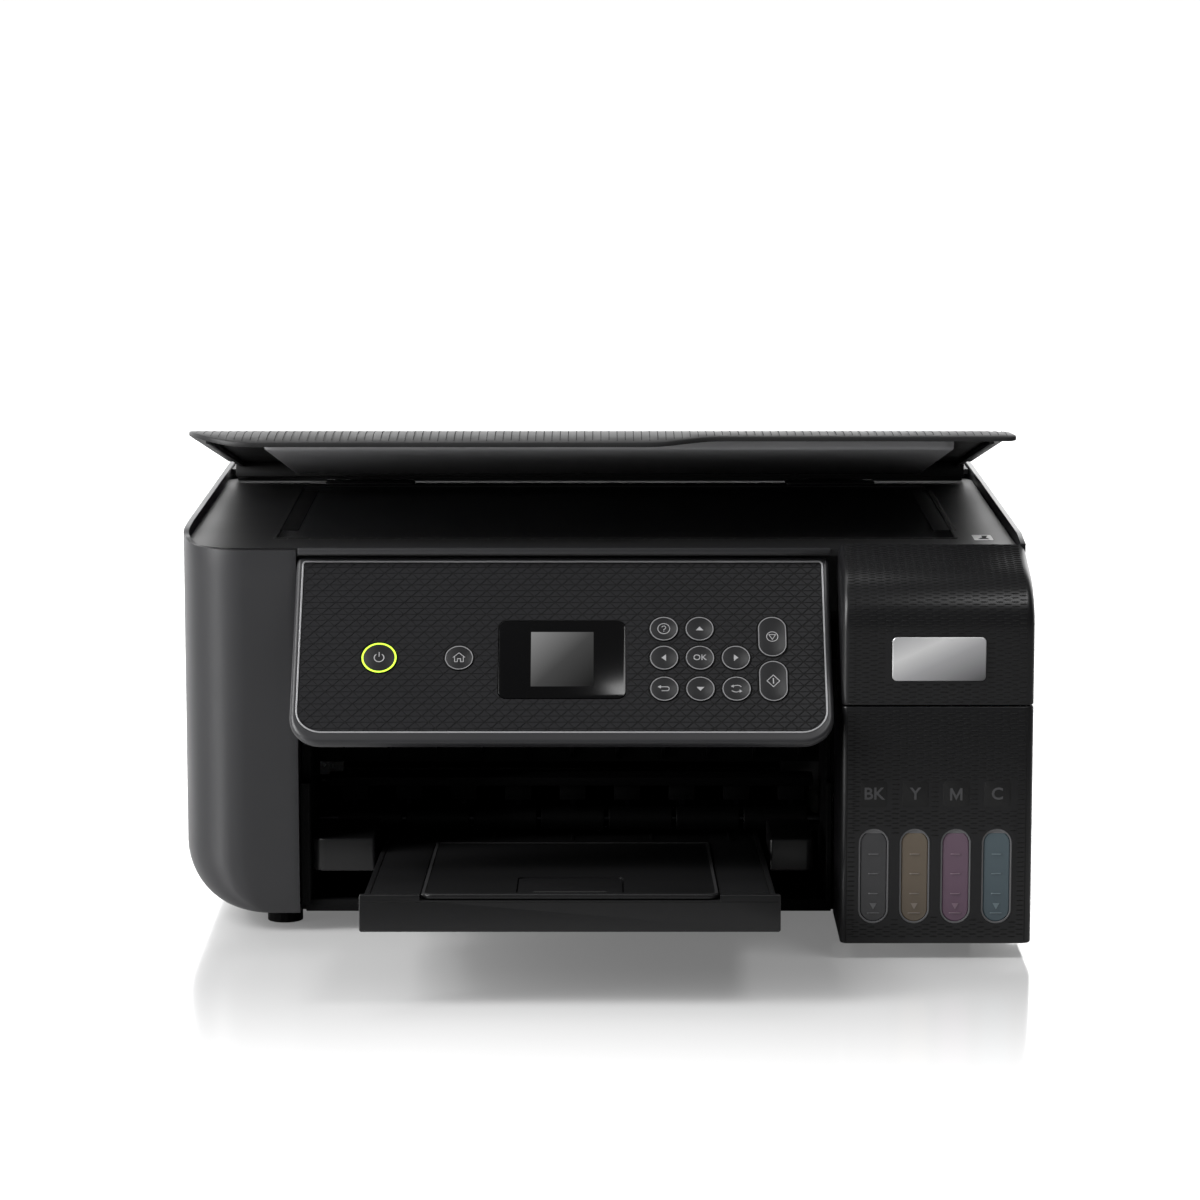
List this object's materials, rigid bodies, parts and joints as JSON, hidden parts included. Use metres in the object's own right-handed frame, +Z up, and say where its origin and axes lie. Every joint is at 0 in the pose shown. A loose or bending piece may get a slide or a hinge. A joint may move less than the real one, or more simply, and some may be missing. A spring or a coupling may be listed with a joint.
{
  "type": "ink tank all-in-one printer",
  "caption": "Compact ink-tank printer, scanner and copier: lid ajar over a glass bed, tilting control panel, side ink tank unit, front paper tray drawn out.",
  "frame": {"origin": "middle of the footprint on the table, with the output tray drawn out", "axes": "+X to the user's right, +Y from the front to the back, +Z up"},
  "size_m": [0.375, 0.4298, 0.2217],
  "materials": {
    "casing_plastic": "satin moulded, dark grey",
    "black_plastic": "fine-textured moulded black",
    "tank_face_plastic": "black, relief of short dashes",
    "inner_plastic": "plain moulded black",
    "grey_plastic": "satin mid grey",
    "panel_plastic": "black with a fine diamond relief",
    "button_plastic": "satin, with printed rings",
    "display_black": "glossy black window",
    "pad_foam": "dark foam faced with film",
    "scanner_glass": "dark polished glass",
    "frame_steel": "zinc-plated sheet",
    "roller_rubber": "ground rubber",
    "belt_rubber": "toothed belt",
    "white_plastic": "natural acetal",
    "ink_black": "translucent tank, black ink",
    "ink_yellow": "translucent tank, yellow ink",
    "ink_magenta": "translucent tank, magenta ink",
    "ink_cyan": "translucent tank, cyan ink",
    "board_green": "printed circuit board"
  },
  "bodies": {
    "casing": {"left_shell": "casing_plastic", "right_shell": "black_plastic", "base_pan": "inner_plastic", "rear_cover": "black_plastic", "tank_housing": "tank_face_plastic", "front_frame": "inner_plastic", "platen": "inner_plastic", "chassis": "frame_steel", "guide_rail": "frame_steel", "timing_belt": "belt_rubber", "carriage_motor": "frame_steel", "feed_belt": "belt_rubber", "star_wheel_bar": "inner_plastic", "feeder_frame": "inner_plastic", "main_board": "board_green", "power_supply": "black_plastic", "ac_inlet": "inner_plastic", "ink_tank_black": "ink_black", "ink_tank_yellow": "ink_yellow", "ink_tank_magenta": "ink_magenta", "ink_tank_cyan": "ink_cyan"},
    "scanner": {"scanner_frame": "black_plastic", "scanner_glass": "scanner_glass", "front_trim": "grey_plastic"},
    "lid": {"lid_cover": "black_plastic", "lid_pad": "pad_foam"},
    "panel": {"panel_housing": "grey_plastic", "panel_face": "panel_plastic", "display_window": "display_black"},
    "scan_bar": {"scan_bar": "grey_plastic"},
    "tank_cover": {"tank_cover": "tank_face_plastic"},
    "print_carriage": {"print_carriage": "inner_plastic"},
    "motor_pulley": {"motor_pulley": "frame_steel"},
    "idler_pulley": {"idler_pulley": "white_plastic"},
    "feed_roller": {"feed_roller": "frame_steel"},
    "exit_roller": {"exit_roller": "roller_rubber"},
    "pickup_roller": {"pickup_roller": "roller_rubber"},
    "output_tray": {"output_tray": "black_plastic"},
    "tray_extension": {"tray_extension": "black_plastic"},
    "tray_stopper": {"tray_stopper": "black_plastic"},
    "paper_support": {"paper_support": "black_plastic"},
    "edge_guide_left": {"edge_guide_left": "grey_plastic"},
    "edge_guide_right": {"edge_guide_right": "grey_plastic"},
    "feeder_guard": {"feeder_guard": "black_plastic"},
    "button_power": {"button_power": "button_plastic"},
    "button_home": {"button_home": "button_plastic"},
    "button_help": {"button_help": "button_plastic"},
    "button_up": {"button_up": "button_plastic"},
    "button_left": {"button_left": "button_plastic"},
    "button_ok": {"button_ok": "button_plastic"},
    "button_right": {"button_right": "button_plastic"},
    "button_back": {"button_back": "button_plastic"},
    "button_down": {"button_down": "button_plastic"},
    "button_settings": {"button_settings": "button_plastic"},
    "button_stop": {"button_stop": "button_plastic"},
    "button_start": {"button_start": "button_plastic"},
    "tank_cap_black": {"tank_cap_black": "ink_black"},
    "tank_cap_yellow": {"tank_cap_yellow": "ink_yellow"},
    "tank_cap_magenta": {"tank_cap_magenta": "ink_magenta"},
    "tank_cap_cyan": {"tank_cap_cyan": "ink_cyan"}
  },
  "joints": [
    {"name": "scanner_lift", "type": "hinge", "parent": "casing", "child": "scanner", "pos_m": [0, 0.16489, 0.172], "axis": [-1, 0, 0], "range_deg": [0, 26]},
    {"name": "lid_hinge", "type": "hinge", "parent": "scanner", "child": "lid", "pos_m": [0, 0.16289, 0.178], "axis": [-1, 0, 0], "range_deg": [-10.3, 55]},
    {"name": "scan_bar_slide", "type": "slide", "parent": "scanner", "child": "scan_bar", "axis": [1, 0, 0], "range_m": [0, 0.27]},
    {"name": "panel_tilt", "type": "hinge", "parent": "casing", "child": "panel", "pos_m": [0, -0.08042, 0.1643], "axis": [-1, 0, 0], "range_deg": [-42.3, 20]},
    {"name": "press_power", "type": "slide", "parent": "panel", "child": "button_power", "axis": [0, 0.7396, -0.673], "range_m": [0, 0.0008], "stiffness_N_per_m": 500},
    {"name": "press_home", "type": "slide", "parent": "panel", "child": "button_home", "axis": [0, 0.7396, -0.673], "range_m": [0, 0.0008], "stiffness_N_per_m": 500},
    {"name": "press_help", "type": "slide", "parent": "panel", "child": "button_help", "axis": [0, 0.7396, -0.673], "range_m": [0, 0.0008], "stiffness_N_per_m": 500},
    {"name": "press_up", "type": "slide", "parent": "panel", "child": "button_up", "axis": [0, 0.7396, -0.673], "range_m": [0, 0.0008], "stiffness_N_per_m": 500},
    {"name": "press_left", "type": "slide", "parent": "panel", "child": "button_left", "axis": [0, 0.7396, -0.673], "range_m": [0, 0.0008], "stiffness_N_per_m": 500},
    {"name": "press_ok", "type": "slide", "parent": "panel", "child": "button_ok", "axis": [0, 0.7396, -0.673], "range_m": [0, 0.0008], "stiffness_N_per_m": 500},
    {"name": "press_right", "type": "slide", "parent": "panel", "child": "button_right", "axis": [0, 0.7396, -0.673], "range_m": [0, 0.0008], "stiffness_N_per_m": 500},
    {"name": "press_back", "type": "slide", "parent": "panel", "child": "button_back", "axis": [0, 0.7396, -0.673], "range_m": [0, 0.0008], "stiffness_N_per_m": 500},
    {"name": "press_down", "type": "slide", "parent": "panel", "child": "button_down", "axis": [0, 0.7396, -0.673], "range_m": [0, 0.0008], "stiffness_N_per_m": 500},
    {"name": "press_settings", "type": "slide", "parent": "panel", "child": "button_settings", "axis": [0, 0.7396, -0.673], "range_m": [0, 0.0008], "stiffness_N_per_m": 500},
    {"name": "press_stop", "type": "slide", "parent": "panel", "child": "button_stop", "axis": [0, 0.7396, -0.673], "range_m": [0, 0.0008], "stiffness_N_per_m": 500},
    {"name": "press_start", "type": "slide", "parent": "panel", "child": "button_start", "axis": [0, 0.7396, -0.673], "range_m": [0, 0.0008], "stiffness_N_per_m": 500},
    {"name": "tank_cover_hinge", "type": "hinge", "parent": "casing", "child": "tank_cover", "pos_m": [0.146, -0.08482, 0.1758], "axis": [-1, 0, 0], "range_deg": [0, 85]},
    {"name": "cap_hinge_black", "type": "hinge", "parent": "casing", "child": "tank_cap_black", "pos_m": [0.1187, -0.07912, 0.1054], "axis": [-1, 0, 0], "range_deg": [0, 100]},
    {"name": "cap_hinge_yellow", "type": "hinge", "parent": "casing", "child": "tank_cap_yellow", "pos_m": [0.1365, -0.07912, 0.1054], "axis": [-1, 0, 0], "range_deg": [0, 100]},
    {"name": "cap_hinge_magenta", "type": "hinge", "parent": "casing", "child": "tank_cap_magenta", "pos_m": [0.1543, -0.07912, 0.1054], "axis": [-1, 0, 0], "range_deg": [0, 100]},
    {"name": "cap_hinge_cyan", "type": "hinge", "parent": "casing", "child": "tank_cap_cyan", "pos_m": [0.1721, -0.07912, 0.1054], "axis": [-1, 0, 0], "range_deg": [0, 100]},
    {"name": "carriage_slide", "type": "slide", "parent": "casing", "child": "print_carriage", "axis": [1, 0, 0], "range_m": [-0.25, 0]},
    {"name": "motor_pulley_spin", "type": "hinge", "parent": "casing", "child": "motor_pulley", "pos_m": [0.16, 0.07239, 0.098], "axis": [0, 1, 0], "continuous": true},
    {"name": "idler_pulley_spin", "type": "hinge", "parent": "casing", "child": "idler_pulley", "pos_m": [-0.165, 0.07239, 0.098], "axis": [0, 1, 0], "continuous": true},
    {"name": "feed_roller_spin", "type": "hinge", "parent": "casing", "child": "feed_roller", "pos_m": [0, 0.07988, 0.037], "axis": [1, 0, 0], "continuous": true},
    {"name": "exit_roller_spin", "type": "hinge", "parent": "casing", "child": "exit_roller", "pos_m": [0, -0.02012, 0.039], "axis": [1, 0, 0], "continuous": true},
    {"name": "pickup_roller_spin", "type": "hinge", "parent": "casing", "child": "pickup_roller", "pos_m": [0.018, 0.14208, 0.1098], "axis": [1, 0, 0], "continuous": true},
    {"name": "output_tray_slide", "type": "slide", "parent": "casing", "child": "output_tray", "axis": [0, -0.9966, 0.0819], "range_m": [-0.129, 0]},
    {"name": "tray_extension_slide", "type": "slide", "parent": "output_tray", "child": "tray_extension", "axis": [0, -0.9966, 0.0819], "range_m": [0, 0.1]},
    {"name": "tray_stopper_hinge", "type": "hinge", "parent": "tray_extension", "child": "tray_stopper", "pos_m": [-0.0125, -0.20493, 0.04523], "axis": [1, 0, 0], "range_deg": [0, 100]},
    {"name": "paper_support_slide", "type": "slide", "parent": "casing", "child": "paper_support", "axis": [0, 0.4384, 0.8988], "range_m": [0, 0.07]},
    {"name": "edge_guide_left_slide", "type": "slide", "parent": "casing", "child": "edge_guide_left", "axis": [1, 0, 0], "range_m": [0, 0.04]},
    {"name": "edge_guide_right_slide", "type": "slide", "parent": "casing", "child": "edge_guide_right", "axis": [1, 0, 0], "range_m": [-0.04, 0]},
    {"name": "feeder_guard_hinge", "type": "hinge", "parent": "casing", "child": "feeder_guard", "pos_m": [-0.0125, 0.17928, 0.1792], "axis": [1, 0, 0], "range_deg": [0, 95]}
  ],
  "couplings": [
    {"joint": "motor_pulley_spin", "follows": "carriage_slide", "rad_per_m": 156.25},
    {"joint": "idler_pulley_spin", "follows": "carriage_slide", "rad_per_m": 156.25},
    {"joint": "exit_roller_spin", "follows": "feed_roller_spin", "ratio": 1},
    {"joint": "edge_guide_right_slide", "follows": "edge_guide_left_slide", "ratio": -1}
  ]
}
